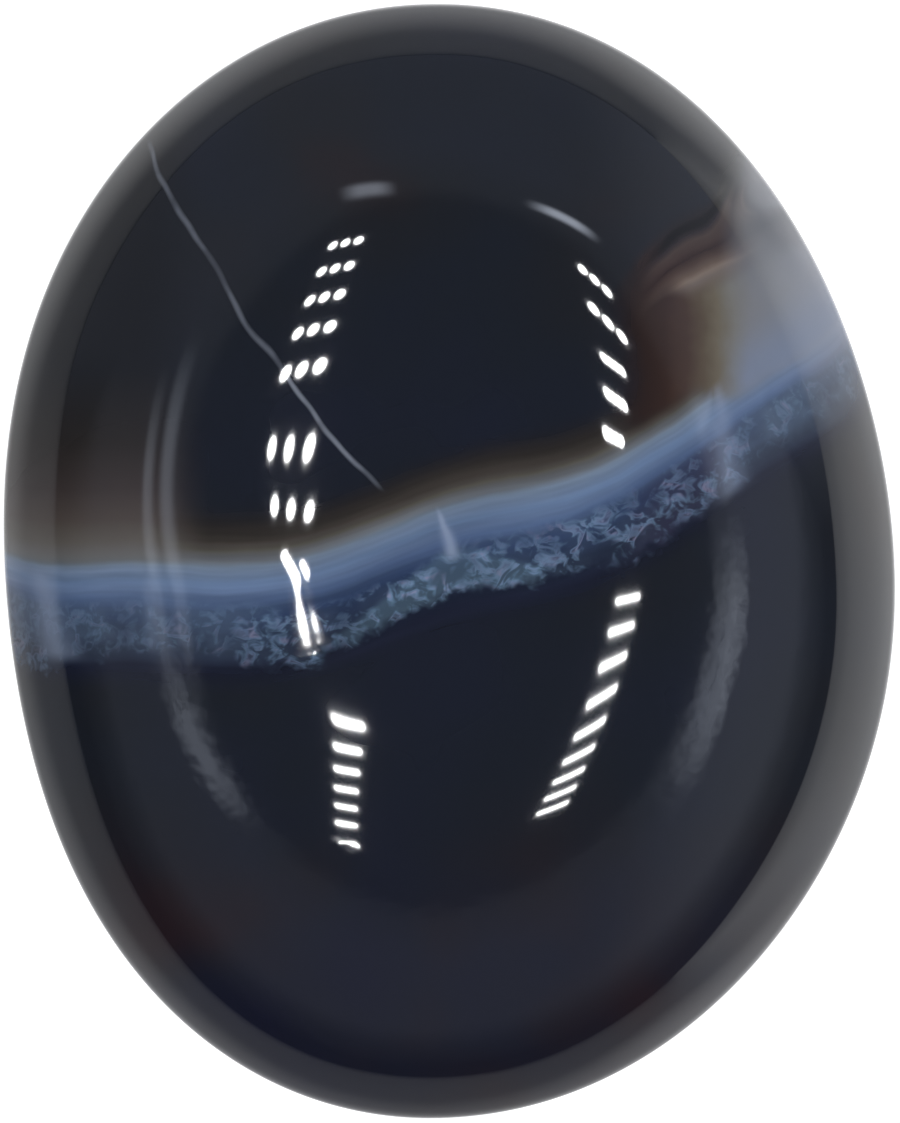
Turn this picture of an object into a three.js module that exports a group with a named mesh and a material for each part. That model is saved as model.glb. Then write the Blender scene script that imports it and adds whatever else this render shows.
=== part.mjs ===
// A polished black agate: one hand-cut oval cabochon with a flat back.
// Units are millimetres, +Z is up and +Y runs along the stone's long axis.
// The origin is on the flat back, at the centre of the oval.

import * as THREE from "three";
import { mergeVertices } from "three/addons/utils/BufferGeometryUtils.js";

// The stone's overall size.
const WIDTH = 20;
const LENGTH = 25;
const THICKNESS = 6.5;

// The girdle is the widest line round the stone. A hand-held stone is never ground quite level,
// so the girdle stands a little higher on one side.
const GIRDLE_HEIGHT = 2.4;
const GIRDLE_RISE = 0.2;
const GIRDLE_RISE_TOWARDS = 200;

// The outline is a fat ellipse that leans a little, with the low swellings left by hand grinding.
// Each swelling goes round the stone a number of times and is highest towards a direction.
const OUTLINE_SQUARENESS = 2.05;
const OUTLINE_LEAN = 2;
const SWELLINGS = [
  { times: 1, height: 0.12, towards: 196 },
  { times: 3, height: 0.12, towards: 0 },
  { times: 4, height: 0.07, towards: 338 },
];

// The crown is a dome with a broad flat middle and a quick round shoulder.
// It is part of a wider dome that is cut off at the girdle, before its side would stand upright.
// Its highest point lies a little off the centre of the oval.
const CROWN_FLATNESS = 3;
const SHOULDER_FULLNESS = 2.4;
const CROWN_SHARE = 0.94;
const SUMMIT = new THREE.Vector2(0.1, 0.4);

// Below the girdle the stone rolls under to the flat back.
const BACK_SHARE = 0.84;
const ROLL_FULLNESS = 2;

// How finely the round surfaces are divided.
const SEGMENTS_AROUND = 96;
const RINGS_ON_CROWN = 22;
const RINGS_UNDER_GIRDLE = 7;

const rad = THREE.MathUtils.degToRad;

// The distance from the centre to the outline in one direction, before the outline is set to size.
function outlineRadius(angle) {
  const turned = angle - rad(OUTLINE_LEAN);
  const across = Math.abs(Math.cos(turned) / (WIDTH / 2)) ** OUTLINE_SQUARENESS;
  const along = Math.abs(Math.sin(turned) / (LENGTH / 2)) ** OUTLINE_SQUARENESS;
  const oval = (across + along) ** (-1 / OUTLINE_SQUARENESS);
  return SWELLINGS.reduce(
    (sum, s) => sum + s.height * Math.cos(s.times * (angle - rad(s.towards))),
    oval,
  );
}

// The height of the girdle in one direction.
function girdleHeight(angle) {
  return GIRDLE_HEIGHT + GIRDLE_RISE * Math.cos(angle - rad(GIRDLE_RISE_TOWARDS));
}

// Half of the stone's section, from the middle of the back out to the girdle and up to the summit.
// x is the share of the outline's radius. y runs from 0 on the back to 1 at the girdle and 2 at the summit.
function section() {
  const points = [new THREE.Vector2(0, 0)];
  for (let i = 0; i < RINGS_UNDER_GIRDLE; i++) {
    const turn = (i / RINGS_UNDER_GIRDLE) * (Math.PI / 2);
    const out = Math.sin(turn) ** (2 / ROLL_FULLNESS);
    const up = 1 - Math.cos(turn) ** (2 / ROLL_FULLNESS);
    points.push(new THREE.Vector2(BACK_SHARE + (1 - BACK_SHARE) * out, up));
  }
  const cut = Math.acos(CROWN_SHARE ** (CROWN_FLATNESS / 2));
  const cutHeight = Math.sin(cut) ** (2 / SHOULDER_FULLNESS);
  for (let i = 0; i < RINGS_ON_CROWN; i++) {
    const turn = cut + (i / RINGS_ON_CROWN) * (Math.PI / 2 - cut);
    const out = Math.cos(turn) ** (2 / CROWN_FLATNESS) / CROWN_SHARE;
    const up = (Math.sin(turn) ** (2 / SHOULDER_FULLNESS) - cutHeight) / (1 - cutHeight);
    points.push(new THREE.Vector2(out, 1 + up));
  }
  points.push(new THREE.Vector2(0, 2));
  return points;
}

// Carries one point of the turned section to its place on the stone.
function placeOnStone(point) {
  const angle = Math.atan2(point.y, point.x);
  const share = Math.hypot(point.x, point.y);
  const girdle = girdleHeight(angle);
  const climb = Math.max(point.z - 1, 0);
  const reach = share * outlineRadius(angle);
  const height = point.z < 1 ? point.z * girdle : girdle + climb * (THICKNESS - girdle);
  return point.set(
    reach * Math.cos(angle) + climb * SUMMIT.x,
    reach * Math.sin(angle) + climb * SUMMIT.y,
    height,
  );
}

// Sets the finished shape to the stone's width and length and centres it over the origin.
function setToSize(geometry) {
  geometry.computeBoundingBox();
  const size = geometry.boundingBox.getSize(new THREE.Vector3());
  const centre = geometry.boundingBox.getCenter(new THREE.Vector3());
  geometry.translate(-centre.x, -centre.y, 0);
  geometry.scale(WIDTH / size.x, LENGTH / size.y, 1);
}

function stoneGeometry() {
  const turned = new THREE.LatheGeometry(section(), SEGMENTS_AROUND);
  turned.rotateX(Math.PI / 2);
  turned.deleteAttribute("normal");
  turned.deleteAttribute("uv");
  const geometry = mergeVertices(turned, 1e-5);
  const position = geometry.getAttribute("position");
  const point = new THREE.Vector3();
  for (let i = 0; i < position.count; i++) {
    placeOnStone(point.fromBufferAttribute(position, i));
    position.setXYZ(i, point.x, point.y, point.z);
  }
  setToSize(geometry);
  geometry.computeVertexNormals();
  return geometry;
}

const polishedAgate = new THREE.MeshStandardMaterial({
  color: 0x17181d,
  roughness: 0.08,
  metalness: 0,
});

const agate = new THREE.Mesh(stoneGeometry(), polishedAgate);
agate.name = "agate";

const part = new THREE.Group();
part.add(agate);

export default part;
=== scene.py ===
# %% [markdown]
# # A polished black agate
# This lesson dresses one small stone: an oval cabochon, cut from a black agate with a single blue-grey
# layer running across it. The solid model says how big it is and how it rests. Blender adds the fine
# curved surface, the colours that lie inside the stone and the gloss of the polish.
# Everything is worked out in millimetres and turned to Blender's metres when a mesh is made.

# %% Load the solid model
import math

import bpy
import numpy as np
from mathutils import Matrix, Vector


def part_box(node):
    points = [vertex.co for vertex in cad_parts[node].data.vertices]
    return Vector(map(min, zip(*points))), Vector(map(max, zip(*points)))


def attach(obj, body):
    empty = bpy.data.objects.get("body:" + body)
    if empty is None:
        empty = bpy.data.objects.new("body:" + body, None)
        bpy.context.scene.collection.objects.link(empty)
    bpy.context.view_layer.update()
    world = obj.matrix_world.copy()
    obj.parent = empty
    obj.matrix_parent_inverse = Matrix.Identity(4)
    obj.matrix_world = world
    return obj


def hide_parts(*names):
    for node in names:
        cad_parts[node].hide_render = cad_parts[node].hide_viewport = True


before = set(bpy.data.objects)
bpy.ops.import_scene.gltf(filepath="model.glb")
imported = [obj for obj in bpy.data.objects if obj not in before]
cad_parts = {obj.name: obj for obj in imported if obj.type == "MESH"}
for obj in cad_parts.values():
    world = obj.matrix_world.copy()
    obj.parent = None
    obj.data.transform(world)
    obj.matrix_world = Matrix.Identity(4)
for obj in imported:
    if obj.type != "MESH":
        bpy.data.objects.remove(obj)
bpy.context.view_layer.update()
MM = 0.001
lowest, highest = (np.array(corner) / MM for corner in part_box("agate"))
WIDTH, LENGTH, THICKNESS = highest - lowest
print(f"the stone is {WIDTH:.2f} x {LENGTH:.2f} mm and {THICKNESS:.2f} mm thick")

# %% [markdown]
# ## The outline
# Seen from above the stone is a fat ellipse. It was ground by hand, so it leans a little and has low
# swellings. One formula gives the reach of the outline in every direction, which keeps the edge smooth
# however finely it is divided. A traced curve would need dozens of points to do the same.

# %% The outline as a function of direction
OUTLINE_SQUARENESS = 2.05
OUTLINE_LEAN = math.radians(2)
SWELLINGS = (
    {"times": 1, "height": 0.12, "towards": math.radians(196)},
    {"times": 3, "height": 0.12, "towards": 0.0},
    {"times": 4, "height": 0.07, "towards": math.radians(338)},
)


def outline_reach(angle):
    """The reach of the outline in mm: a superellipse plus one cosine wave for each swelling.

    The superellipse is (|cos / half width|^n + |sin / half length|^n) raised to the power -1/n."""
    turned = angle - OUTLINE_LEAN
    across = np.abs(np.cos(turned) / (WIDTH / 2)) ** OUTLINE_SQUARENESS
    along = np.abs(np.sin(turned) / (LENGTH / 2)) ** OUTLINE_SQUARENESS
    reach = (across + along) ** (-1 / OUTLINE_SQUARENESS)
    for swelling in SWELLINGS:
        wave = np.cos(swelling["times"] * (angle - swelling["towards"]))
        reach = reach + swelling["height"] * wave
    return reach


quarter_turns = np.radians([0, 90, 180, 270])
print("the outline reaches", outline_reach(quarter_turns).round(2), "mm at the four quarters")

# %% [markdown]
# ## Half of the section
# A cutter first grinds the flat back, then rolls the edge, then works the crown down to a broad dome
# with a quick round shoulder. The section follows that order: back, roll under the girdle, crown.
# Both curves are superellipses, so the dome can be flatter on top than a plain ellipse would be. The
# crown is cut off at the girdle before it stands upright, and polishing has taken the edge off there.

# %% The section as a profile from the back to the summit
BACK_SHARE = 0.84
ROLL_FULLNESS = 2
CROWN_FLATNESS = 3
SHOULDER_FULLNESS = 2.4
CROWN_SHARE = 0.94
GIRDLE_HEIGHT = 2.4
RINGS_ON_BACK = 10
RINGS_ON_SIDE = 210
EDGE_SOFTENING = 3
STEPS_ON_ROLL = 2000
STEPS_ON_CROWN = 6000


def evenly_spaced(share, height, count):
    """The same curve with count points at equal steps along its length, worked out in mm."""
    steps = np.hypot(np.diff(share) * WIDTH / 2, np.diff(height))
    travelled = np.concatenate(([0], np.cumsum(steps)))
    wanted = np.linspace(0, travelled[-1], count)
    return np.interp(wanted, travelled, share), np.interp(wanted, travelled, height)


def softened(values, reach):
    """Each value becomes the mean of itself and its neighbours up to reach steps away.

    The values near both ends stay as they are."""
    soft = values.copy()
    window = np.full(2 * reach + 1, 1 / (2 * reach + 1))
    soft[reach:-reach] = np.convolve(values, window, "valid")
    return soft


def section():
    """The share of the outline's reach and the level of each ring.

    Level runs from 0 on the back to 1 at the girdle and 2 at the summit. Under the girdle the share
    grows with sin^(2/n) while the height grows with 1 - cos^(2/n). On the crown the share shrinks
    with cos^(2/n) while the height grows with sin^(2/m), counted from where the dome is cut off."""
    turn = np.linspace(0, math.pi / 2, STEPS_ON_ROLL)
    roll_share = BACK_SHARE + (1 - BACK_SHARE) * np.sin(turn) ** (2 / ROLL_FULLNESS)
    roll_height = GIRDLE_HEIGHT * (1 - np.clip(np.cos(turn), 0, 1) ** (2 / ROLL_FULLNESS))
    cut = math.acos(CROWN_SHARE ** (CROWN_FLATNESS / 2))
    turn = np.linspace(cut, math.pi / 2, STEPS_ON_CROWN)
    rise = np.sin(turn) ** (2 / SHOULDER_FULLNESS)
    crown_share = np.clip(np.cos(turn), 0, 1) ** (2 / CROWN_FLATNESS) / CROWN_SHARE
    crown_rise = (rise - rise[0]) / (1 - rise[0])
    crown_height = GIRDLE_HEIGHT + crown_rise * (THICKNESS - GIRDLE_HEIGHT)
    share, height = evenly_spaced(
        np.concatenate((roll_share, crown_share[1:])),
        np.concatenate((roll_height, crown_height[1:])),
        RINGS_ON_SIDE,
    )
    share, height = softened(share, EDGE_SOFTENING), softened(height, EDGE_SOFTENING)
    share = np.concatenate((np.linspace(0, BACK_SHARE, RINGS_ON_BACK), share[1:]))
    height = np.concatenate((np.zeros(RINGS_ON_BACK), height[1:]))
    climb = (height - GIRDLE_HEIGHT) / (THICKNESS - GIRDLE_HEIGHT)
    return share, np.where(climb > 0, 1 + climb, height / GIRDLE_HEIGHT)


ring_share, ring_level = section()
print(len(ring_share), "rings from the middle of the back to the summit")

# %% [markdown]
# ## The smooth stone
# The surface is a function of two parameters: which way round the stone, and how far up the section.
# The girdle is not quite level and the summit is a little off centre, as on the real stone.

# %% The surface on a grid
GIRDLE_RISE = 0.2
GIRDLE_RISE_TOWARDS = math.radians(200)
SUMMIT = (0.1, 0.4)
STEPS_AROUND = 384

around = np.linspace(0, 2 * math.pi, STEPS_AROUND, endpoint=False)


def smooth_stone():
    """Rings of points in mm, set to the solid model's width and length.

    A point lies at share x outline reach in its direction. Its height is level x girdle height below
    the girdle. Above it, the climb from girdle to summit is added and leans towards the summit."""
    angle, share = np.meshgrid(around, ring_share)
    level = np.repeat(ring_level[:, None], STEPS_AROUND, axis=1)
    girdle = GIRDLE_HEIGHT + GIRDLE_RISE * np.cos(angle - GIRDLE_RISE_TOWARDS)
    climb = np.clip(level - 1, 0, 1)
    height = np.minimum(level, 1) * girdle + climb * (THICKNESS - girdle)
    reach = share * outline_reach(angle)
    x = reach * np.cos(angle) + climb * SUMMIT[0]
    y = reach * np.sin(angle) + climb * SUMMIT[1]
    x = (x - (x.max() + x.min()) / 2) * WIDTH / np.ptp(x)
    y = (y - (y.max() + y.min()) / 2) * LENGTH / np.ptp(y)
    return np.stack((x, y, height), axis=-1)


points = smooth_stone()
print("the grid holds", points.shape[0], "rings of", points.shape[1], "points")

# %% [markdown]
# ## The layer inside the stone
# Agate grows as layers of silica in a hollow of lava. This stone shows one pale layer, which crosses
# it from side to side in a low wave, curves up towards one end, and dips as it goes down, most of all
# near both ends. Its place is a formula too, because surface, colours and polish all depend on it.

# %% The middle of the pale layer
LAYER_START = 0.656
LAYER_SLOPE = 0.303
LAYER_BEND = 0.0139
LAYER_DIP = 0.12
LAYER_FLARE = 0.0013
LAYER_WAVE = 0.16
LAYER_WAVE_TURN = 2 * math.pi / 6.8
LAYER_WAVE_START = 3.5 * LAYER_WAVE_TURN


def above_layer(x, y, z):
    """How far a point is from the middle of the pale layer, in mm along the stone's length.

    The layer lies at start + slope x + bend x^2 - wave cos(turn x + wave start), plus the depth below
    the summit times (dip + flare x^2)."""
    wave = LAYER_WAVE * np.cos(LAYER_WAVE_TURN * x + LAYER_WAVE_START)
    middle = LAYER_START + LAYER_SLOPE * x + LAYER_BEND * x**2 - wave
    return y - middle - (LAYER_DIP + LAYER_FLARE * x**2) * (THICKNESS - z)


print("the layer crosses the summit", round(-above_layer(0, 0, THICKNESS), 2), "mm from the centre")

# %% [markdown]
# ## What the polish does to the surface
# A polished dome is never a perfect curve. The hand leaves long low swells, which bend reflections.
# The fringe of fine quartz beside the pale layer is softer than the agate around it, so the polish
# sinks there by about a hundredth of a millimetre. Both are real geometry, moved along the normal.

# %% Swells and the sunken fringe
SWELLS = (
    {"length": 7.5, "height": 0.008, "towards": math.radians(25), "start": 0.4},
    {"length": 5.2, "height": 0.004, "towards": math.radians(84), "start": 2.1},
    {"length": 4.1, "height": 0.003, "towards": math.radians(141), "start": 4.0},
)
TROUGH_MIDDLE = -0.75
TROUGH_HALF_WIDTH = 1.0
TROUGH_DEPTH = 0.015
RELIEF_FULL_AT = 1 / 3


def normals(grid):
    """Unit normals of the grid: the cross product of the steps round the stone and up the section."""
    onward = np.roll(grid, -1, axis=1) - np.roll(grid, 1, axis=1)
    upward = np.gradient(grid, axis=0)
    across = np.cross(onward, upward)
    across[0] = (0, 0, -1)
    across[-1] = (0, 0, 1)
    return across / np.linalg.norm(across, axis=-1, keepdims=True)


def relief(grid):
    """Height over the smooth stone in mm: a sum of sine waves less a bell-shaped trough.

    Both fade to nothing at the girdle, so the outline stays as it is."""
    x, y, z = np.moveaxis(grid, -1, 0)
    height = np.zeros_like(x)
    for swell in SWELLS:
        along = x * math.cos(swell["towards"]) + y * math.sin(swell["towards"])
        height += swell["height"] * np.sin(2 * math.pi * along / swell["length"] + swell["start"])
    trough = np.exp(-(((above_layer(x, y, z) - TROUGH_MIDDLE) / TROUGH_HALF_WIDTH) ** 2))
    height -= TROUGH_DEPTH * trough
    climb = (z - GIRDLE_HEIGHT) / (THICKNESS - GIRDLE_HEIGHT)
    return height * np.clip(climb / RELIEF_FULL_AT, 0, 1)


points = points + normals(points) * relief(points)[..., None]
print(f"the relief runs from {relief(points).min():.3f} to {relief(points).max():.3f} mm")

# %% [markdown]
# ## The mesh
# The first and the last ring have no width, so each becomes a single point with a fan of triangles
# round it. Every other gap between rings is filled with four-sided faces that point outwards.

# %% Turn the grid into a closed mesh


def new_object(name, data):
    """A new object that shows the given mesh or camera, linked to the scene."""
    made = bpy.data.objects.new(name, data)
    bpy.context.scene.collection.objects.link(made)
    return made


def closed_mesh(name, grid):
    """A mesh object from rings of points: a fan at each pole and quads between the rings."""
    rings = grid[1:-1]
    count, steps = rings.shape[:2]
    corner = np.arange(count * steps).reshape(count, steps)
    onward = np.roll(corner, -1, axis=1)
    quads = np.stack((corner[:-1], onward[:-1], onward[1:], corner[1:]), axis=-1).reshape(-1, 4)
    bottom, top = count * steps, count * steps + 1
    under = np.stack((np.full(steps, bottom), onward[0], corner[0]), axis=-1)
    over = np.stack((np.full(steps, top), corner[-1], onward[-1]), axis=-1)
    places = np.concatenate((rings.reshape(-1, 3), grid[0, :1], grid[-1, :1])) * MM
    mesh = bpy.data.meshes.new(name)
    mesh.from_pydata(places.tolist(), [], quads.tolist() + under.tolist() + over.tolist())
    mesh.shade_smooth()
    return new_object(name, mesh)


stone = closed_mesh("polished_agate", points)
triangles = sum(len(face.vertices) - 2 for face in stone.data.polygons)
print(stone.name, "has", triangles, "triangles")

# %% [markdown]
# ## Where the back is
# The flat back was left finely ground, as it is on most cabochons, because nobody sees it. The mesh
# carries one number for each point, which is 1 on the back and 0 once the edge has rolled up.

# %% Mark the ground back
BACK_FADE = 0.25


def mark_back(target):
    """Stores how much of the ground back each point has, from 1 at height 0 to 0 at BACK_FADE mm."""
    places = np.empty(len(target.data.vertices) * 3, np.float32)
    target.data.vertices.foreach_get("co", places)
    height = places.reshape(-1, 3)[:, 2] / MM
    share = np.clip(1 - height / BACK_FADE, 0, 1)
    attribute = target.data.attributes.new("ground_back", "FLOAT", "POINT")
    attribute.data.foreach_set("value", share.astype(np.float32))
    return share


print(f"{mark_back(stone).mean():.0%} of the points are on the ground back")

# %% [markdown]
# ## Helpers for materials
# Colours are written as the hex values that a paint program shows and turned to the linear values
# that Blender works in. One function adds any node, sets it and links it.

# %% Colours and nodes


def linear(hex_colour):
    """An sRGB hex colour as linear red, green, blue and a full alpha.

    Each channel c becomes c / 12.92 below 0.04045 and ((c + 0.055) / 1.055)^2.4 above it."""
    channels = np.array([int(hex_colour[i : i + 2], 16) for i in (1, 3, 5)]) / 255
    curved = ((channels + 0.055) / 1.055) ** 2.4
    return (*np.where(channels <= 0.04045, channels / 12.92, curved), 1.0)


def empty_tree(owner):
    """The node tree of a new material or world, with nothing in it yet."""
    owner.use_nodes = True
    owner.node_tree.nodes.clear()
    return owner.node_tree


def add(tree, kind, *values, **named):
    """Adds one node and returns it. Values fill its inputs in order, and None leaves one as it is.

    A name with a capital letter is an input and any other name is a setting. A value may be a number,
    a hex colour, a socket, or a node, which gives its first output. stops fills a colour ramp."""
    node = tree.nodes.new("ShaderNode" + kind)
    inputs = dict(enumerate(values))
    for name, value in named.items():
        if name[0].isupper():
            inputs[name.replace("_", " ")] = value
        elif name == "stops":
            ramp = node.color_ramp.elements
            while len(ramp) < len(value):
                ramp.new(1.0)
            for element, (place, colour) in zip(ramp, value):
                element.position = place
                element.color = linear(colour)
        else:
            setattr(node, name, value)
    for name, value in inputs.items():
        if value is None:
            continue
        if isinstance(value, bpy.types.Node):
            value = value.outputs[0]
        if isinstance(value, str):
            value = linear(value)
        if isinstance(value, bpy.types.NodeSocket):
            tree.links.new(value, node.inputs[name])
        else:
            node.inputs[name].default_value = value
    return node


print("black reads", linear("#000000")[:3], "and white reads", linear("#ffffff")[:3])

# %% [markdown]
# ## Places inside the stone
# The colours of an agate fill it right through, so they are worked out from the place inside the
# stone and not from a picture wrapped round it. Where the layer meets the edge, it goes on down the
# side and over the back by itself. All lengths in the material are in millimetres.

# %% Start the material: polished chalcedony
agate = bpy.data.materials.new("polished_black_agate")
tree = empty_tree(agate)

object_place = add(tree, "TexCoord").outputs["Object"]
place = add(tree, "VectorMath", object_place, operation="SCALE", Scale=1 / MM)
x, y, z = add(tree, "SeparateXYZ", place).outputs
print("the material reads places in mm")

# %% [markdown]
# ## Distance from the pale layer
# The same formula as before gives the distance from the layer, now in nodes. Real layers waver, so
# the distance is bent by a slow noise and, by a smaller share, by a quicker one.

# %% The wavering distance from the layer
SLOW_WAVER_SIZE = 6.0
SLOW_WAVER = 0.40
QUICK_WAVER_SIZE = 1.2
QUICK_WAVER = 0.12


def centred(noise, width):
    """Noise from 0 to 1 as a shift of up to half the width to either side: noise x width - width / 2."""
    return add(tree, "Math", noise, width, -width / 2, operation="MULTIPLY_ADD")


square = add(tree, "Math", x, x, operation="MULTIPLY")
bend = add(tree, "Math", square, LAYER_BEND, LAYER_START, operation="MULTIPLY_ADD")
sloped = add(tree, "Math", x, LAYER_SLOPE, bend, operation="MULTIPLY_ADD")
wave_angle = add(tree, "Math", x, LAYER_WAVE_TURN, LAYER_WAVE_START, operation="MULTIPLY_ADD")
wave = add(tree, "Math", wave_angle, operation="COSINE")
waved = add(tree, "Math", wave, -LAYER_WAVE, sloped, operation="MULTIPLY_ADD")
depth = add(tree, "Math", THICKNESS, z, operation="SUBTRACT")
dip = add(tree, "Math", square, LAYER_FLARE, LAYER_DIP, operation="MULTIPLY_ADD")
dipped = add(tree, "Math", depth, dip, waved, operation="MULTIPLY_ADD")
straight = add(tree, "Math", y, dipped, operation="SUBTRACT")
slow = add(tree, "TexNoise", place, Scale=1 / SLOW_WAVER_SIZE, Detail=1.0)
quick = add(tree, "TexNoise", place, Scale=1 / QUICK_WAVER_SIZE, Detail=2.0)
quick_shift = centred(quick, QUICK_WAVER)
shift = add(tree, "Math", centred(slow, SLOW_WAVER), quick_shift, operation="ADD")
away = add(tree, "Math", straight, shift, operation="ADD")
print("the layer wavers by up to", (SLOW_WAVER + QUICK_WAVER) / 2, "mm")

# %% [markdown]
# ## Soft steps
# Most colours in this stone fade into each other. A soft step is a number that goes from 0 to 1 while
# a distance goes from one value to another, slowly at both ends, and it can mix any two colours. Soft
# steps in several directions are multiplied to mark off a part of the stone.

# %% Soft steps and their product
LOWER_PART = (-4.0, -9.5)


def soft_step(value, start, end, low=0.0, high=1.0):
    """A number that goes from low to high as value goes from start to end, along an S-shaped curve.

    It is added to the tree that is being made at the time."""
    return add(tree, "MapRange", value, start, end, low, high, interpolation_type="SMOOTHSTEP")


def product(first, *others):
    """All values multiplied. Of shares from 0 to 1, it says how much of a place is in all parts."""
    for other in others:
        first = add(tree, "Math", first, other, operation="MULTIPLY")
    return first


lower_part = soft_step(y, *LOWER_PART)
print("a soft step is one", lower_part.bl_idname, "node")

# %% [markdown]
# ## The black body
# The body is chalcedony stained almost black by carbon and iron. It is not quite even: here it leans
# to indigo, there to brown. The differences are faint, so the tones are close and the noise slow.

# %% The tones of the black body
BODY_PATCH = 5.0
BODY_TONES = ((0.30, "#1b1f2b"), (0.50, "#1b1f27"), (0.66, "#1d1f24"), (0.78, "#231e20"))
LOW_TONES = ((0.30, "#181a2c"), (0.48, "#1b1d2a"), (0.60, "#201d26"), (0.72, "#271b20"))

body_noise = add(tree, "TexNoise", place, Scale=1 / BODY_PATCH, Detail=2.0)
upper_body = add(tree, "ValToRGB", body_noise, stops=BODY_TONES)
lower_body = add(tree, "ValToRGB", body_noise, stops=LOW_TONES)
body = add(tree, "MixRGB", lower_part, upper_body, lower_body)
print("the body has", len(BODY_TONES) + len(LOW_TONES), "tones")

# %% [markdown]
# ## The pale layer
# Going from the far side towards the near side, the black turns brown, then tan, then grey, and the
# layer itself is a light steel blue that sinks into navy. The blue is not a dye: fine silica scatters
# blue light, as haze does. A ramp over the distance gives the whole sequence.

# %% The sequence of colours across the layer
LAYER_TONES = (
    (-2.60, "#191c28"),
    (-2.00, "#1b1f2f"),
    (-1.50, "#1e2537"),
    (-1.10, "#232e47"),
    (-0.80, "#2b3a58"),
    (-0.60, "#384865"),
    (-0.40, "#4f6282"),
    (-0.20, "#647796"),
    (0.00, "#667b99"),
    (0.20, "#73849c"),
    (0.34, "#707f90"),
    (0.46, "#676c72"),
    (0.58, "#5d5f60"),
    (0.72, "#514d46"),
    (0.90, "#3c3732"),
    (1.15, "#2b2724"),
    (1.60, "#211f21"),
)


def share_of(span, value):
    """Where a value lies in a span, from 0 at its start to 1 at its end."""
    return (value - span[0]) / (span[1] - span[0])


def ramp_over(distance, tones):
    """A colour ramp over a distance in mm, from the first of its tones to the last."""
    span = tones[0][0], tones[-1][0]
    along = add(tree, "MapRange", distance, *span, 0.0, 1.0)
    return add(tree, "ValToRGB", along, stops=[(share_of(span, mm), tone) for mm, tone in tones])


layer = ramp_over(away, LAYER_TONES)
print("the layer is shown from", LAYER_TONES[0][0], "to", LAYER_TONES[-1][0], "mm from its middle")

# %% [markdown]
# ## Fine bands
# A magnifier shows that the pale layer is itself a stack of hair-thin bands. Noise that is stretched
# far along the layer and squeezed across it gives such bands, and they lighten and darken the colour.

# %% Hair-thin bands along the layer
BAND_PITCH = 0.16
BAND_RUN = 5.0
BAND_NOISE = (0.3, 0.7)
BAND_LIGHT = (0.80, 1.20)

band_place = add(
    tree,
    "CombineXYZ",
    add(tree, "Math", x, 1 / BAND_RUN, operation="MULTIPLY"),
    add(tree, "Math", away, 1 / (2 * BAND_PITCH), operation="MULTIPLY"),
    add(tree, "Math", z, 1 / BAND_RUN, operation="MULTIPLY"),
)
bands = add(tree, "TexNoise", band_place, Scale=1.0, Detail=2.0, Roughness=0.6)
band_light = add(tree, "MapRange", bands, *BAND_NOISE, *BAND_LIGHT)
banded_layer = add(tree, "VectorMath", layer, operation="SCALE", Scale=band_light)
print("bands are about", BAND_PITCH, "mm apart")

# %% [markdown]
# ## The brown stain
# Iron has crept into the stone on the far side of the layer. It shows as a warm brown glow where the
# layer nears one edge, and hardly at all in the middle.

# %% Brown glow near the edge
STAIN_TONES = (
    (0.30, "#6a7074"),
    (0.55, "#696866"),
    (0.85, "#5f5a54"),
    (1.30, "#4f4742"),
    (2.00, "#3c3533"),
    (3.00, "#292523"),
    (4.60, "#16181d"),
)
STAIN_EDGE = (-5.2, -6.9)
STAIN_FROM_LAYER = (0.25, 0.50)

stain = ramp_over(away, STAIN_TONES)
stain_amount = product(soft_step(x, *STAIN_EDGE), soft_step(away, *STAIN_FROM_LAYER))
print("the stain fades out", STAIN_TONES[-1][0], "mm from the layer")

# %% [markdown]
# ## The milky fan
# At the other side the layer opens into a milky grey fan. Going sideways into it, the black turns
# reddish brown, then olive, then milky grey. Its upper end is cut off by a slanting row of thin
# layers in dark brown and rust, with a tan line where the fan begins. Two distances describe it: how
# far a point is past an upright line, and how far below a slanting one. The slanting line curls down
# at one end and up at the other, like a hook.

# %% The two distances into the fan
FAN_SIDE = 5.75
FAN_TOP = (5.39, 6.24)
FAN_TOP_TOWARDS = math.radians(117)
FAN_WAVER_SIZE = 1.5
FAN_WAVER = 0.7
FAN_LINE_WAVER = 0.26
CURL_FROM = 5.2
CURL_DROP = 0.32
HOOK_FROM = 5.6
HOOK_RISE = 1.4
HOOK_LINES = (-0.30, -1.30)


def square_beyond(start, direction):
    """The square of how far x is beyond the start, to the right for 1 and to the left for -1."""
    beyond = add(tree, "Math", x, direction, -start * direction, operation="MULTIPLY_ADD")
    reach = add(tree, "Math", beyond, 0.0, operation="MAXIMUM")
    return product(reach, reach)


fan_noise = add(tree, "TexNoise", place, Scale=1 / FAN_WAVER_SIZE, Detail=3.0)
side_plain = add(tree, "Math", x, FAN_SIDE, operation="SUBTRACT")
past_side = add(tree, "Math", side_plain, centred(fan_noise, FAN_WAVER), operation="ADD")
top_cos, top_sin = math.cos(FAN_TOP_TOWARDS), math.sin(FAN_TOP_TOWARDS)
top_start = FAN_TOP[0] * top_cos + FAN_TOP[1] * top_sin
below_across = add(tree, "Math", x, -top_cos, top_start, operation="MULTIPLY_ADD")
below_plain = add(tree, "Math", y, -top_sin, below_across, operation="MULTIPLY_ADD")
below_wavy = add(tree, "Math", below_plain, centred(fan_noise, FAN_LINE_WAVER), operation="ADD")
curl = square_beyond(CURL_FROM, -1)
below_curled = add(tree, "Math", curl, -CURL_DROP, below_wavy, operation="MULTIPLY_ADD")
hook = square_beyond(HOOK_FROM, 1)
hook_here = soft_step(below_curled, *HOOK_LINES, high=HOOK_RISE)
below_top = add(tree, "Math", hook, hook_here, below_curled, operation="MULTIPLY_ADD")
print("the fan starts", FAN_SIDE, "mm to the side of the centre")

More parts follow.
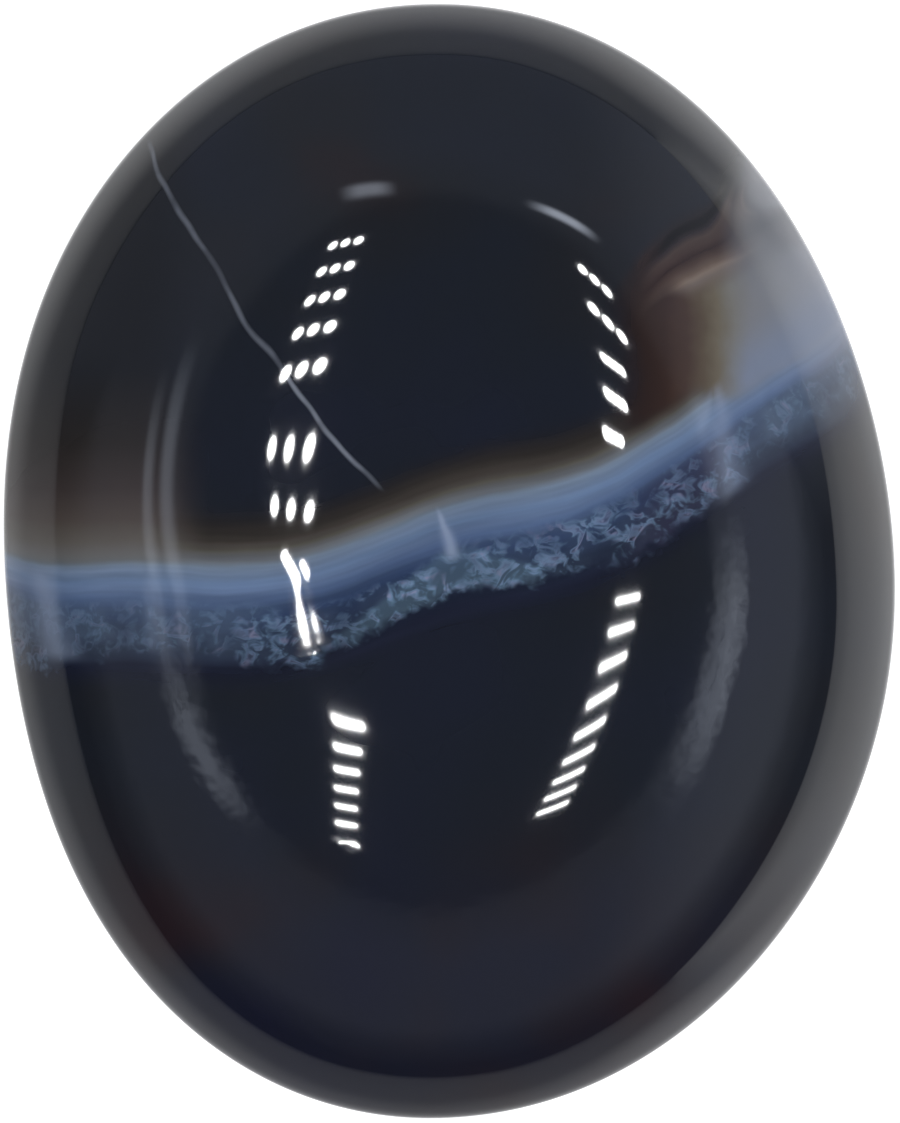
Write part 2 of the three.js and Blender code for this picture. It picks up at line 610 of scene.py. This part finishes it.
# %% [markdown]
# ## The colours of the fan
# The side has one slow ramp. The thin layers at the top have a ramp of their own, which shows only
# near the slanting line. Where they run on into the milky part they pale and fade, and there the
# fan's upper end is soft too, while it is sharp over the dark lines. Close to the layer it turns blue.

# %% Slow colours at the side and thin lines at the top
SIDE_TONES = (
    (-2.40, "#1a1b1f"),
    (-1.90, "#241c1d"),
    (-1.40, "#2d211e"),
    (-0.90, "#352621"),
    (-0.50, "#413027"),
    (-0.15, "#544837"),
    (0.12, "#665e4d"),
    (0.45, "#73716b"),
    (0.90, "#78797c"),
    (1.50, "#7c7f85"),
    (2.20, "#82868f"),
)
TOP_TONES = (
    (-1.60, "#1b1c21"),
    (-1.20, "#1f1b1d"),
    (-1.10, "#0b0808"),
    (-0.99, "#0b0808"),
    (-0.87, "#2a2325"),
    (-0.74, "#453832"),
    (-0.58, "#3c2d28"),
    (-0.45, "#2c1b17"),
    (-0.30, "#44342c"),
    (-0.12, "#5f4f45"),
    (0.00, "#7a6b5f"),
    (0.12, "#6b6058"),
    (0.35, "#5d5147"),
)
LINES_FROM = (4.1, 4.9)
LINES_PALE = (5.9, 7.1)
LINES_TO = (8.7, 8.0)
LINES_FADE = (0.5, 0.0)
TAN_FROM = (4.7, 5.5)
TAN_LEVELS = (-0.45, 0.05)
MILKY = "#777a80"
MILKY_FROM = (-0.5, 0.6)
MILKY_NEARER = 0.75
FAN_FROM_LAYER = (0.55, 1.05)
FAN_FROM_SIDE = (-2.4, -1.4)
SHARP_CUT = (-1.50, -1.15)
SOFT_CUT = (-2.1, 1.0)
SOFT_FROM_SIDE = (6.1, 7.1)
SOFT_FROM_END = (7.8, 8.6)
FAN_BLUE = "#74829b"
BLUE_SHARE = 0.65
BLUE_FROM_LAYER = (1.8, 0.3)
BLUE_FROM_SIDE = (0.1, 0.9)

side_colour = ramp_over(past_side, SIDE_TONES)
line_colour = ramp_over(below_top, TOP_TONES)
pale_lines = add(tree, "MixRGB", soft_step(x, *LINES_PALE), line_colour, MILKY)
tan_end = soft_step(x, *TAN_FROM, *TAN_LEVELS)
over_tan = add(tree, "Math", below_top, tan_end, operation="SUBTRACT")
lines_span = product(soft_step(x, *LINES_FROM), soft_step(y, *LINES_TO))
near_lines = product(soft_step(over_tan, *LINES_FADE), lines_span)
fan = add(tree, "MixRGB", near_lines, side_colour, pale_lines)
milky_part = soft_step(past_side, *MILKY_FROM, high=MILKY_NEARER)
fan_from_layer = add(tree, "Math", away, milky_part, operation="ADD")
fan_span = product(soft_step(fan_from_layer, *FAN_FROM_LAYER), soft_step(past_side, *FAN_FROM_SIDE))
sharp_cut = soft_step(below_top, *SHARP_CUT)
soft_cut = soft_step(below_top, *SOFT_CUT)
soft_at_side = soft_step(x, *SOFT_FROM_SIDE)
soft_at_end = soft_step(y, *SOFT_FROM_END)
softness = add(tree, "Math", soft_at_side, soft_at_end, operation="MAXIMUM")
cut_step = add(tree, "Math", soft_cut, sharp_cut, operation="SUBTRACT")
under_cut = add(tree, "Math", cut_step, softness, sharp_cut, operation="MULTIPLY_ADD")
fan_amount = product(fan_span, under_cut)
blue_near = soft_step(away, *BLUE_FROM_LAYER, high=BLUE_SHARE)
fan_blue = product(blue_near, soft_step(past_side, *BLUE_FROM_SIDE), fan_amount)
print("the fan has", len(SIDE_TONES), "tones at the side and", len(TOP_TONES), "at the top")

# %% [markdown]
# ## Where the fringe reaches
# On the near side the layer frays into a fringe of fine quartz. Its lower edge hangs in two swags and
# is ragged: a wave along the stone plus a noise. Its upper edge lies higher towards both ends.

# %% The reach of the fringe
SWAG_LENGTH = 7.2
SWAG_AT = -2.7
SWAG_DROP = 0.28
FRINGE_BOTTOM = -1.90
FRINGE_RAGGED = 1.5
FRINGE_RAGGED_SIZE = 0.9
FRINGE_FADE = 0.40
FRINGE_STEP_AT = (-0.9, 0.2)
FRINGE_TOPS = (-0.80, -0.45)
LEFT_RISE_AT = (-3.4, -4.6)
LEFT_RISE = 0.35
FRINGE_TOP_FADE = (0.15, -0.30)

swag_turn = 2 * math.pi / SWAG_LENGTH
swag_angle = add(tree, "Math", x, swag_turn, -SWAG_AT * swag_turn, operation="MULTIPLY_ADD")
swag = add(tree, "Math", swag_angle, operation="COSINE")
ragged = add(tree, "TexNoise", place, Scale=1 / FRINGE_RAGGED_SIZE, Detail=3.0, Roughness=0.6)
hang = add(tree, "Math", centred(ragged, FRINGE_RAGGED), FRINGE_BOTTOM, operation="ADD")
swagged = add(tree, "Math", swag, -SWAG_DROP, hang, operation="MULTIPLY_ADD")
over_hang = add(tree, "Math", away, swagged, operation="SUBTRACT")
low_end = soft_step(over_hang, 0.0, FRINGE_FADE)
right_top = soft_step(x, *FRINGE_STEP_AT, *FRINGE_TOPS)
left_rise = soft_step(x, *LEFT_RISE_AT, high=LEFT_RISE)
fringe_top = add(tree, "Math", right_top, left_rise, operation="ADD")
under_top = add(tree, "Math", away, fringe_top, operation="SUBTRACT")
in_fringe = product(low_end, soft_step(under_top, *FRINGE_TOP_FADE))
print(f"the fringe hangs down to about {FRINGE_BOTTOM - SWAG_DROP:.1f} mm")

# %% [markdown]
# ## Curled threads
# The fringe is a felt of fine curled threads, about a tenth of a millimetre thick. Noise has hills and
# hollows. Folding its height back and forth draws lines round them at even steps, like the contour
# lines on a map, and such lines curl and join as the threads do. Two sets lie across each other. The
# leaning one shows where the hills of the other are high, and the other where its hills are low.

# %% Contour lines as threads
THREAD_STRETCH = 1.5
THREAD_EDGE = (0.16, 0.50)
LEANING_SIZE = 0.42
LEANING_FOLDS = 3.0
LEANING_TURN = math.radians(50)
LEANING_WHERE = (0.38, 0.55)
CROSS_SIZE = 0.30
CROSS_FOLDS = 2.6
CROSS_TURN = math.radians(-4)
CROSS_WHERE = (0.58, 0.43)
CROSS_SHARE = 0.90
CROSS_SHIFT = 3.7


def thread_set(size, folds, turn, shift):
    """Contour lines of a noise, 1 in the middle of a thread and 0 between threads, and the noise itself.

    The noise is multiplied by the number of folds and folded back and forth between 0 and 0.5."""
    turned_place = add(
        tree,
        "Mapping",
        place,
        Location=(shift, shift, 0),
        Rotation=(0, 0, turn),
        Scale=(size * THREAD_STRETCH, size, size),
        vector_type="TEXTURE",
    )
    hills = add(tree, "TexNoise", turned_place, Scale=1.0, Detail=2.0, Roughness=0.5, Distortion=0.8)
    folded = add(tree, "Math", product(hills, folds), 0.5, operation="PINGPONG")
    return soft_step(folded, *THREAD_EDGE), hills


leaning_threads, leaning_hills = thread_set(LEANING_SIZE, LEANING_FOLDS, LEANING_TURN, 0.0)
cross_threads, cross_hills = thread_set(CROSS_SIZE, CROSS_FOLDS, CROSS_TURN, CROSS_SHIFT)
leaning_part = product(leaning_threads, soft_step(cross_hills, *LEANING_WHERE))
cross_part = product(cross_threads, soft_step(leaning_hills, *CROSS_WHERE), CROSS_SHARE)
threads = add(tree, "Math", leaning_part, cross_part, operation="MAXIMUM")
print("two sets of threads lie across each other")

# %% [markdown]
# ## How the threads gather
# They gather in clumps. In the middle a pale tent hangs from a spike, with its sides spreading down
# and outwards, and there the threads are denser and stand in a pale haze. A fainter haze lies between
# all threads. It is thicker at both ends of the layer, and near the right end it turns violet.

# %% Clumps, tent and haze
CLUMP_SIZE = 1.0
CLUMP_EDGE = (0.36, 0.64)
CLUMP_LEAST = 0.30
TENT_AT = 0.05
TENT_TOP = -0.45
TENT_SPREAD = 2.4
TENT_EDGE = (-0.1, 0.5)
TENT_FADE = (1.4, 3.6)
TENT_HAZE = 0.34
TENT_FULL = 0.8
OUTSIDE_TENT = 0.80
RIGHT_END = (3.0, 7.6)
RIGHT_SHARE = 0.45
LEFT_END = (-3.2, -5.0)
LEFT_SHARE = 0.40
FELT_HAZE = 0.20
HAZE_RIGHT = {"start": 5.4, "end": 7.4, "high": 0.75}
HAZE_LEFT = {"start": -3.2, "end": -5.2, "high": 0.48}
HAZE_FROM_BELOW = (-1.9, -1.2)
HAZE_FROM_ABOVE = (-0.3, -0.7)
HAZE_PATCHES = {"start": 0.30, "end": 0.62, "low": 0.5}
VIOLET_FROM = (3.6, 4.8)
VIOLET_TO = (6.6, 5.8)
VIOLET_SHARE = 0.40

clumps = add(tree, "TexNoise", place, Scale=1 / CLUMP_SIZE, Detail=2.0)
clump = soft_step(clumps, *CLUMP_EDGE, low=CLUMP_LEAST)
from_tent = add(tree, "Math", x, TENT_AT, operation="SUBTRACT")
beside_tent = add(tree, "Math", from_tent, operation="ABSOLUTE")
tent_depth = add(tree, "Math", TENT_TOP, away, operation="SUBTRACT")
tent_reach = add(tree, "Math", tent_depth, TENT_SPREAD, quick_shift, operation="MULTIPLY_ADD")
inside_tent = add(tree, "Math", tent_reach, beside_tent, operation="SUBTRACT")
tent_middle = soft_step(beside_tent, *TENT_FADE, low=1.0, high=0.0)
tent = product(soft_step(inside_tent, *TENT_EDGE), tent_middle, low_end)
dense = soft_step(tent, 0.0, TENT_FULL, low=OUTSIDE_TENT)
at_right = soft_step(x, *RIGHT_END, low=1.0, high=RIGHT_SHARE)
at_left = soft_step(x, *LEFT_END, low=1.0, high=LEFT_SHARE)
thread_amount = product(threads, clump, dense, at_right, at_left, in_fringe)
haze_ends = add(tree, "Math", soft_step(x, **HAZE_RIGHT), soft_step(x, **HAZE_LEFT), operation="ADD")
haze_above = add(tree, "MapRange", away, *HAZE_FROM_BELOW, 0.0, 1.0)
haze_below = add(tree, "MapRange", away, *HAZE_FROM_ABOVE, 0.0, 1.0)
haze_sides = product(haze_above, haze_below, soft_step(clumps, **HAZE_PATCHES), haze_ends)
felt_haze = product(in_fringe, clump, FELT_HAZE)
haze = add(tree, "Math", haze_sides, felt_haze, operation="MAXIMUM")
tent_haze = product(tent, TENT_HAZE)
violet = product(soft_step(x, *VIOLET_FROM), soft_step(x, *VIOLET_TO), in_fringe, VIOLET_SHARE)
print("clumps are about", CLUMP_SIZE, "mm across")

# %% [markdown]
# ## Fibres across the layer
# A few pale fibres stand across the layer. Each is a thin streak along its own leaning line, and
# spreads out lower down, like the foot of a tree. Across the streak it fades as a bell curve.

# %% A few thin fibres
FIBRE_FADE = 0.35
FIBRE_WAVER = 2.0
# Each fibre: its place at the layer, its lean, its two widths, its top and foot, and its strength.
FIBRES = (
    (-0.14, -0.30, (0.04, 0.17), (0.50, -0.95), 0.70),
    (6.02, -0.16, (0.10, 0.30), (0.75, -2.10), 0.30),
    (5.62, 0.30, (0.08, 0.18), (0.75, -0.30), 0.16),
    (-6.72, -0.10, (0.10, 0.16), (0.20, -1.70), 0.16),
    (-9.10, -0.25, (0.25, 0.40), (0.30, -1.90), 0.40),
)

fibre = 0.0
for start, lean, widths, (top, foot), strength in FIBRES:
    leaning = add(tree, "Math", away, lean, start, operation="MULTIPLY_ADD")
    off = add(tree, "Math", x, leaning, operation="SUBTRACT")
    wavy = add(tree, "Math", quick_shift, FIBRE_WAVER, off, operation="MULTIPLY_ADD")
    width = add(tree, "MapRange", away, top, foot, *widths)
    scaled = add(tree, "Math", wavy, width, operation="DIVIDE")
    bell = add(tree, "Math", product(scaled, scaled, -1.0), operation="EXPONENT")
    from_top = soft_step(away, top, top - FIBRE_FADE, high=strength)
    from_foot = soft_step(away, foot, foot + FIBRE_FADE)
    streak = product(bell, product(from_top, from_foot))
    fibre = add(tree, "Math", streak, fibre, operation="MAXIMUM")
print(len(FIBRES), "fibres")

# %% [markdown]
# ## The healed crack
# One thin pale line crosses the dark half of the crown. It is an old crack that has healed, a slightly
# curved sheet that stands in the stone, so it shows as a line about a tenth of a millimetre wide.

# %% A thin curved sheet
CRACK_SLOPE = -1.0137
CRACK_BEND = 0.0316
CRACK_KINK = 0.45
CRACK_KINK_SIZE = 1.5
CRACK_EDGE = (0.104, 0.013)
CRACK_FOOT = (1.5, 1.8)
CRACK_TOP = (9.6, 9.0)
CRACK_PATCHES = {"start": 0.36, "end": 0.56, "low": 0.45}
CRACK_BRIGHT = {"start": 4.6, "end": 3.9, "low": 0.51, "high": 0.85}

crack_bend = product(y, y, CRACK_BEND)
crack_line = add(tree, "Math", y, CRACK_SLOPE, crack_bend, operation="MULTIPLY_ADD")
crack_off = add(tree, "Math", x, crack_line, operation="SUBTRACT")
kinks = add(tree, "TexNoise", place, Scale=1 / CRACK_KINK_SIZE, Detail=1.0)
crack_wavy = add(tree, "Math", centred(kinks, CRACK_KINK), crack_off, operation="ADD")
from_crack = add(tree, "Math", crack_wavy, operation="ABSOLUTE")
crack_span = product(soft_step(y, *CRACK_FOOT), soft_step(y, *CRACK_TOP))
crack_light = product(soft_step(clumps, **CRACK_PATCHES), soft_step(y, **CRACK_BRIGHT))
crack = product(soft_step(from_crack, *CRACK_EDGE), crack_span, crack_light)
print(f"the crack is about {sum(CRACK_EDGE):.2f} mm wide")

# %% [markdown]
# ## Laying the colours over each other
# The order follows the stone: black body, layer, stain, fan, then the haze, threads and fibres that
# stand in the layer, and the crack last.

# %% One colour for every place in the stone
THREAD_TONES = ((0.30, "#698a9a"), (0.48, "#6a87a0"), (0.60, "#768aa8"), (0.72, "#9490ab"))
HAZE_COLOUR = "#56667a"
VIOLET_COLOUR = "#383349"
TENT_COLOUR = "#5c7585"
FIBRE_COLOUR = "#94a2ba"
END_COLOUR = "#83868f"
CRACK_COLOUR = "#7d828c"
LAYER_NEAR_SIDE = (-2.6, -1.9)
LAYER_FAR_SIDE = (1.8, 1.1)
END_FROM = (6.8, 9.4)
END_SHARE = 0.6
END_NEAR_SIDE = (-1.0, -0.2)

in_layer = product(soft_step(away, *LAYER_NEAR_SIDE), soft_step(away, *LAYER_FAR_SIDE))
end_pale = product(soft_step(x, *END_FROM, high=END_SHARE), soft_step(away, *END_NEAR_SIDE))
thread_colour = add(tree, "ValToRGB", cross_hills, stops=THREAD_TONES)
stone_colour = body
for amount, colour in (
    (in_layer, banded_layer),
    (end_pale, END_COLOUR),
    (stain_amount, stain),
    (fan_amount, fan),
    (fan_blue, FAN_BLUE),
    (haze, HAZE_COLOUR),
    (violet, VIOLET_COLOUR),
    (tent_haze, TENT_COLOUR),
    (thread_amount, thread_colour),
    (fibre, FIBRE_COLOUR),
    (crack, CRACK_COLOUR),
):
    stone_colour = add(tree, "MixRGB", amount, stone_colour, colour)
print("eleven colour steps, from the body to the crack")

# %% [markdown]
# ## Gloss
# Chalcedony has an index of refraction of about 1.54 and takes a very high polish, so its roughness is
# near zero. The grainy quartz on the near side of the layer polishes a little worse: on the shoulder,
# where the wheel bears less hard, it keeps a faint orange-peel relief. The fringe has one of its own.
# Both break up what the stone mirrors. The ground back is dull.

# %% Roughness, fine relief and the finished surface
CHALCEDONY_IOR = 1.54
POLISHED = 0.03
GRAINY_DULLING = 0.01
GROUND = 0.38
GRAINY_FROM = (-0.4, -1.6)
PEEL_SIZE = 0.42
PEEL_HEIGHT = 0.0055
PEEL_DEPTH = (0.42, 0.62)
PEEL_END = (2.0, 1.4)
FRINGE_RELIEF_SIZE = 0.30
FRINGE_RELIEF_HEIGHT = 0.003
FRINGE_RELIEF_FROM = (-1.45, -2.00)

grainy = soft_step(away, *GRAINY_FROM)
grainy_dull = add(tree, "Math", grainy, GRAINY_DULLING, POLISHED, operation="MULTIPLY_ADD")
ground_back = add(tree, "Attribute", attribute_name="ground_back").outputs["Fac"]
roughness = add(tree, "MapRange", ground_back, 0.0, 1.0, grainy_dull, GROUND)
peel = add(tree, "TexNoise", place, Scale=1 / PEEL_SIZE, Detail=1.0)
grains = add(tree, "TexNoise", place, Scale=1 / FRINGE_RELIEF_SIZE, Detail=1.0, Distortion=0.6)
on_shoulder = product(soft_step(depth, *PEEL_DEPTH, high=PEEL_HEIGHT), soft_step(depth, *PEEL_END))
peel_amount = product(grainy, on_shoulder)
grain_here = soft_step(away, *FRINGE_RELIEF_FROM, high=FRINGE_RELIEF_HEIGHT)
grain_height = product(grains, product(in_fringe, grain_here))
fine_height = add(tree, "Math", peel, peel_amount, grain_height, operation="MULTIPLY_ADD")
fine_relief = add(tree, "Bump", Strength=1.0, Distance=MM, Height=fine_height)
surface = add(
    tree,
    "BsdfPrincipled",
    Base_Color=stone_colour,
    Roughness=roughness,
    IOR=CHALCEDONY_IOR,
    Normal=fine_relief,
)
add(tree, "OutputMaterial", surface)
stone.data.materials.append(agate)
print("the material has", len(tree.nodes), "nodes")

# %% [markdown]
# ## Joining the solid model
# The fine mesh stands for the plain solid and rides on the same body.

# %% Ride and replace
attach(stone, "root")
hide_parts("agate")
print("the fine stone stands for the plain one")

# %% [markdown]
# ## The table
# The stone lies on a pale matt sheet that glows. Its glow is a painted pool of light: it gives the
# steep edge of the stone something bright to mirror, and it softens the shadow. The glow is strongest
# round the stone and falls off a few millimetres away, except on one side, the side of the window,
# where a painted patch of light reaches further out.

# %% A pale sheet to lie on
FLOOR_REACH = 1500
FLOOR_COLOUR = "#b4b4b4"
FLOOR_POINTS = 3
GLOW_NEAR = 0.95
GLOW_FAR = 0.03
GLOW_ACROSS = (20.0, 7.8)
GLOW_ALONG = (26.0, 9.5)
LIGHT_PATCH_LEAN = 0.8
LIGHT_PATCH_EDGE = (-6.0, 10.0)
LIGHT_PATCH_SHARE = 0.85
LIGHT_PATCH_FAR = (16.0, 60.0)
LIGHT_PATCH_FAR_SHARE = 0.6


def floor_sheet():
    """A flat square sheet in mm, centred under the stone, as a grid of two parameters."""
    side = np.linspace(-FLOOR_REACH, FLOOR_REACH, FLOOR_POINTS)
    across, along = np.meshgrid(side, side)
    places = np.stack((across, along, np.zeros_like(across)), axis=-1)
    return surface_mesh("table_sheet", places)


def surface_mesh(name, grid):
    """A mesh object from an open grid of points in mm, with a four-sided face in every gap."""
    rows, columns = grid.shape[:2]
    corner = np.arange(rows * columns).reshape(rows, columns)
    faces = np.stack((corner[:-1, :-1], corner[:-1, 1:], corner[1:, 1:], corner[1:, :-1]), axis=-1)
    mesh = bpy.data.meshes.new(name)
    mesh.from_pydata((grid.reshape(-1, 3) * MM).tolist(), [], faces.reshape(-1, 4).tolist())
    return new_object(name, mesh)


sheet = floor_sheet()
acrylic = bpy.data.materials.new("white_acrylic_sheet")
tree = empty_tree(acrylic)
sheet_place = add(tree, "TexCoord").outputs["Object"]
sheet_mm = add(tree, "VectorMath", sheet_place, operation="SCALE", Scale=1 / MM)
sheet_x, sheet_y, _ = add(tree, "SeparateXYZ", sheet_mm).outputs
across_size = add(tree, "Math", sheet_x, operation="ABSOLUTE")
along_size = add(tree, "Math", sheet_y, operation="ABSOLUTE")
# painted pool of light: the sheet glows most within a few millimetres of the stone
near = product(soft_step(across_size, *GLOW_ACROSS), soft_step(along_size, *GLOW_ALONG))
# painted patch of light on the window side, where the glow reaches further out
light_patch_side = add(tree, "Math", along_size, -LIGHT_PATCH_LEAN, sheet_x, operation="MULTIPLY_ADD")
window = soft_step(light_patch_side, *LIGHT_PATCH_EDGE, high=LIGHT_PATCH_SHARE)
not_far = soft_step(across_size, *LIGHT_PATCH_FAR, low=1.0, high=LIGHT_PATCH_FAR_SHARE)
lit = add(tree, "Math", near, product(window, not_far), operation="MAXIMUM")
sheet_glow = add(tree, "MapRange", lit, 0.0, 1.0, GLOW_FAR, GLOW_NEAR)
acrylic_surface = add(
    tree,
    "BsdfPrincipled",
    Base_Color=FLOOR_COLOUR,
    Roughness=0.9,
    Specular_IOR_Level=0.0,
    Emission_Color="#ffffff",
    Emission_Strength=sheet_glow,
)
add(tree, "OutputMaterial", acrylic_surface)
sheet.data.materials.append(acrylic)
print("the sheet is", 2 * FLOOR_REACH, "mm wide")

# %% [markdown]
# ## The lamps
# Two long lamps hang over the stone, one on each side. Each is made of strips of small round lights in
# short rows. Where the lights stand closer, a row looks like one short bar. Their mirror images on the
# crown show how good the polish is.

# %% Rows of small round lights
LAMP_HEIGHT = 250
LAMP_RADIANCE = 78
LIGHT_CORNERS = 12
# Each strip: three places it runs through, the turn of its rows in degrees, the number of rows, the
# lights in a row, their pitch and their radius.
STRIPS = (
    (((-61, 132), (-64, 89), (-65, 48)), -6, 5, 3, 10.4, 3.5),
    (((-63, 24), (-61, 17), (-58, 10)), -8, 2, 3, 11.6, 2.8),
    (((-56, -10),) * 3, -44, 1, 5, 3.2, 2.7),
    (((-46, -11),) * 3, -44, 1, 4, 1.5, 1.7),
    (((-37, -40), (-45, -75), (-51, -115)), 0, 7, 5, 2.9, 1.9),
    (((104, 121), (102, 107), (100, 92)), -27, 2, 3, 9.6, 3.9),
    (((90, 66), (83, 48), (75, 31)), -9, 3, 4, 4.0, 2.9),
    (((76, -12), (62, -56), (53, -96)), 5, 9, 7, 2.8, 1.55),
)


def light_discs(through, turn, rows, lights, pitch, radius):
    """The corners of the small round lights of one strip in mm, one disc after another.

    Rows are spaced evenly along the parabola through three places, and the lights of a row stand
    pitch apart on a line turned by the given angle."""
    share = np.linspace(0, 1, rows)[:, None]
    first, middle, last = np.array(through, float)
    bow = 4 * (middle - (first + last) / 2)
    rows_at = first + share * (last - first) + share * (1 - share) * bow
    turned = math.radians(turn)
    along_row = np.arange(lights) - (lights - 1) / 2
    offset = along_row[:, None] * pitch * np.array((math.cos(turned), math.sin(turned)))
    centres = (rows_at[:, None] + offset[None]).reshape(-1, 2)
    angle = np.linspace(0, 2 * math.pi, LIGHT_CORNERS, endpoint=False)
    rim = radius * np.stack((np.cos(angle), -np.sin(angle)), axis=-1)
    flat = (centres[:, None] + rim[None]).reshape(-1, 2)
    return np.column_stack((flat, np.full(len(flat), LAMP_HEIGHT)))


def glowing(name, strength, colour="#ffffff", share_from=None):
    """A material that only gives off light of the given strength and colour.

    With share_from, it is see-through where the mesh attribute of that name is 0."""
    material = bpy.data.materials.new(name)
    tree = empty_tree(material)
    glow = add(tree, "Emission", colour, strength)
    if share_from:
        share = add(tree, "Attribute", attribute_name=share_from).outputs["Fac"]
        glow = add(tree, "MixShader", share, add(tree, "BsdfTransparent"), glow)
    add(tree, "OutputMaterial", glow)
    return material


corners = np.concatenate([light_discs(*strip) for strip in STRIPS]) * MM
discs = np.arange(len(corners)).reshape(-1, LIGHT_CORNERS)
lamp_mesh = bpy.data.meshes.new("lamp_rows")
lamp_mesh.from_pydata(corners.tolist(), [], discs.tolist())
lamp_mesh.materials.append(glowing("lamp_glow", LAMP_RADIANCE))
lamps = new_object("lamp_rows", lamp_mesh)
lamps.visible_camera = False
print(len(discs), "small lights")

# %% [markdown]
# ## The soft panels
# A ring of dim panels hangs round the lamps, with gaps between them. On the shoulder of the crown they
# show as pale arcs, and their edges show how the surface bends. Each panel fades towards its edges,
# as cloth stretched over a frame does. The fading is kept as one number for each point of the mesh.

# %% Curved panels in a ring
# Each panel: its name, the turn it spans in degrees, its inner and outer reach where the turn starts
# and where it ends, and its glow.
PANELS = (
    ("right_panel", (-40, 10), ((182, 284), (168, 270)), 1.9),
    ("right_outer_panel", (-36, 9), ((218, 290), (198, 272)), 2.8),
    ("right_fringe_panel", (8, 24), ((176, 264), (190, 250)), 1.3),
    ("lower_left_panel", (186, 224), ((200, 320), (166, 220)), 1.7),
    ("inner_streak_panel", (149, 200), ((206, 262), (168, 208)), 1.7),
    ("outer_streak_panel", (157, 200), ((256, 306), (216, 268)), 1.6),
    ("left_top_panel", (98, 114), ((174, 206), (196, 238)), 3.4),
    ("right_top_panel", (51, 72), ((202, 224), (184, 204)), 7.0),
)
PANEL_STEPS = (9, 33)
PANEL_FADE = 0.40
PANEL_LIGHT = "#e4edff"


def panel_grid(turn, reach):
    """Part of a flat ring at lamp height in mm: reach x cosine and sine of the turn.

    The inner and the outer reach each run evenly from their first value to their last."""
    spans = (np.linspace(0, 1, steps) for steps in PANEL_STEPS)
    share_out, share_on = np.meshgrid(*spans, indexing="ij")
    angle = np.radians(turn[0] + share_on * (turn[1] - turn[0]))
    first, last = np.array(reach, float)
    inner, outer = first[:, None, None] + share_on * (last - first)[:, None, None]
    radius = inner + share_out * (outer - inner)
    places = radius * np.cos(angle), radius * np.sin(angle), np.full_like(angle, LAMP_HEIGHT)
    return np.stack(places, axis=-1), fading(share_out) * fading(share_on)


def fading(share):
    """1 in the middle of a span and 0 at both its ends: t^2 (3 - 2t), t being how far from an end."""
    near_end = np.clip(np.minimum(share, 1 - share) / PANEL_FADE, 0, 1)
    return near_end**2 * (3 - 2 * near_end)


for name, turn, reach, glow in PANELS:
    places, shares = panel_grid(turn, reach)
    made = surface_mesh(name, places)
    attribute = made.data.attributes.new("panel_share", "FLOAT", "POINT")
    attribute.data.foreach_set("value", shares.ravel().astype(np.float32))
    made.data.materials.append(glowing(name + "_glow", glow, PANEL_LIGHT, "panel_share"))
    made.visible_camera = False
print(len(PANELS), "panels")

# %% [markdown]
# ## The room light
# Soft light comes from halfway up all round, and much less from straight above, which keeps the top of
# the crown dark. The world's colour depends on the height of the direction. It is brighter on one side,
# where the window is, and a pale screen at the far end hides the dark foot of the walls.

# %% A soft surround that is dark overhead
SURROUND = (
    (0.00, "#303136"),
    (0.10, "#303136"),
    (0.25, "#5c5f66"),
    (0.38, "#858995"),
    (0.70, "#858998"),
    (0.80, "#7b7f88"),
    (0.84, "#50535a"),
    (1.00, "#484b53"),
)
WINDOW_FROM = (0.35, 0.80)
WINDOW_GAIN = 2.1
SCREEN_FROM = (-0.05, 0.35)
SCREEN_HEIGHT = 0.38

world = bpy.data.worlds.new("soft_surround")
bpy.context.scene.world = world
tree = empty_tree(world)
direction = add(tree, "TexCoord").outputs["Generated"]
towards_x, towards_y, towards_z = add(tree, "SeparateXYZ", direction).outputs
screened = soft_step(towards_y, *SCREEN_FROM, high=SCREEN_HEIGHT)
height = add(tree, "Math", towards_z, screened, operation="MAXIMUM")
surround = add(tree, "ValToRGB", height, stops=SURROUND)
gain = soft_step(towards_x, *WINDOW_FROM, low=1.0, high=WINDOW_GAIN)
add(tree, "OutputWorld", add(tree, "Background", surround, gain))
print("the surround has", len(SURROUND), "tones")

# %% [markdown]
# ## The camera
# The picture was taken from straight above with the long axis upright and fills almost the whole
# frame. A long lens from a fair distance gives the same flat view.

# %% Look straight down
PICTURE = (900, 1123)
LEFT, RIGHT, TOP, BOTTOM = 3, 896, 4, 1118
CAMERA_HEIGHT = 300
SENSOR = 36

mm_in_a_pixel = LENGTH / (BOTTOM - TOP + 1)
shown_length = PICTURE[1] * mm_in_a_pixel
camera = new_object("camera", bpy.data.cameras.new("camera"))
camera.data.sensor_width = SENSOR
camera.data.lens = SENSOR * (CAMERA_HEIGHT - GIRDLE_HEIGHT) / shown_length
centre_x = (PICTURE[0] / 2 - (LEFT + RIGHT) / 2) * mm_in_a_pixel
centre_y = ((TOP + BOTTOM) / 2 - PICTURE[1] / 2) * mm_in_a_pixel
camera.location = (centre_x * MM, centre_y * MM, CAMERA_HEIGHT * MM)
camera.data.clip_start = 0.01
bpy.context.scene.camera = camera
bpy.context.scene.view_settings.view_transform = "Standard"
print(f"the lens is {camera.data.lens:.0f} mm and a pixel covers {mm_in_a_pixel:.4f} mm")
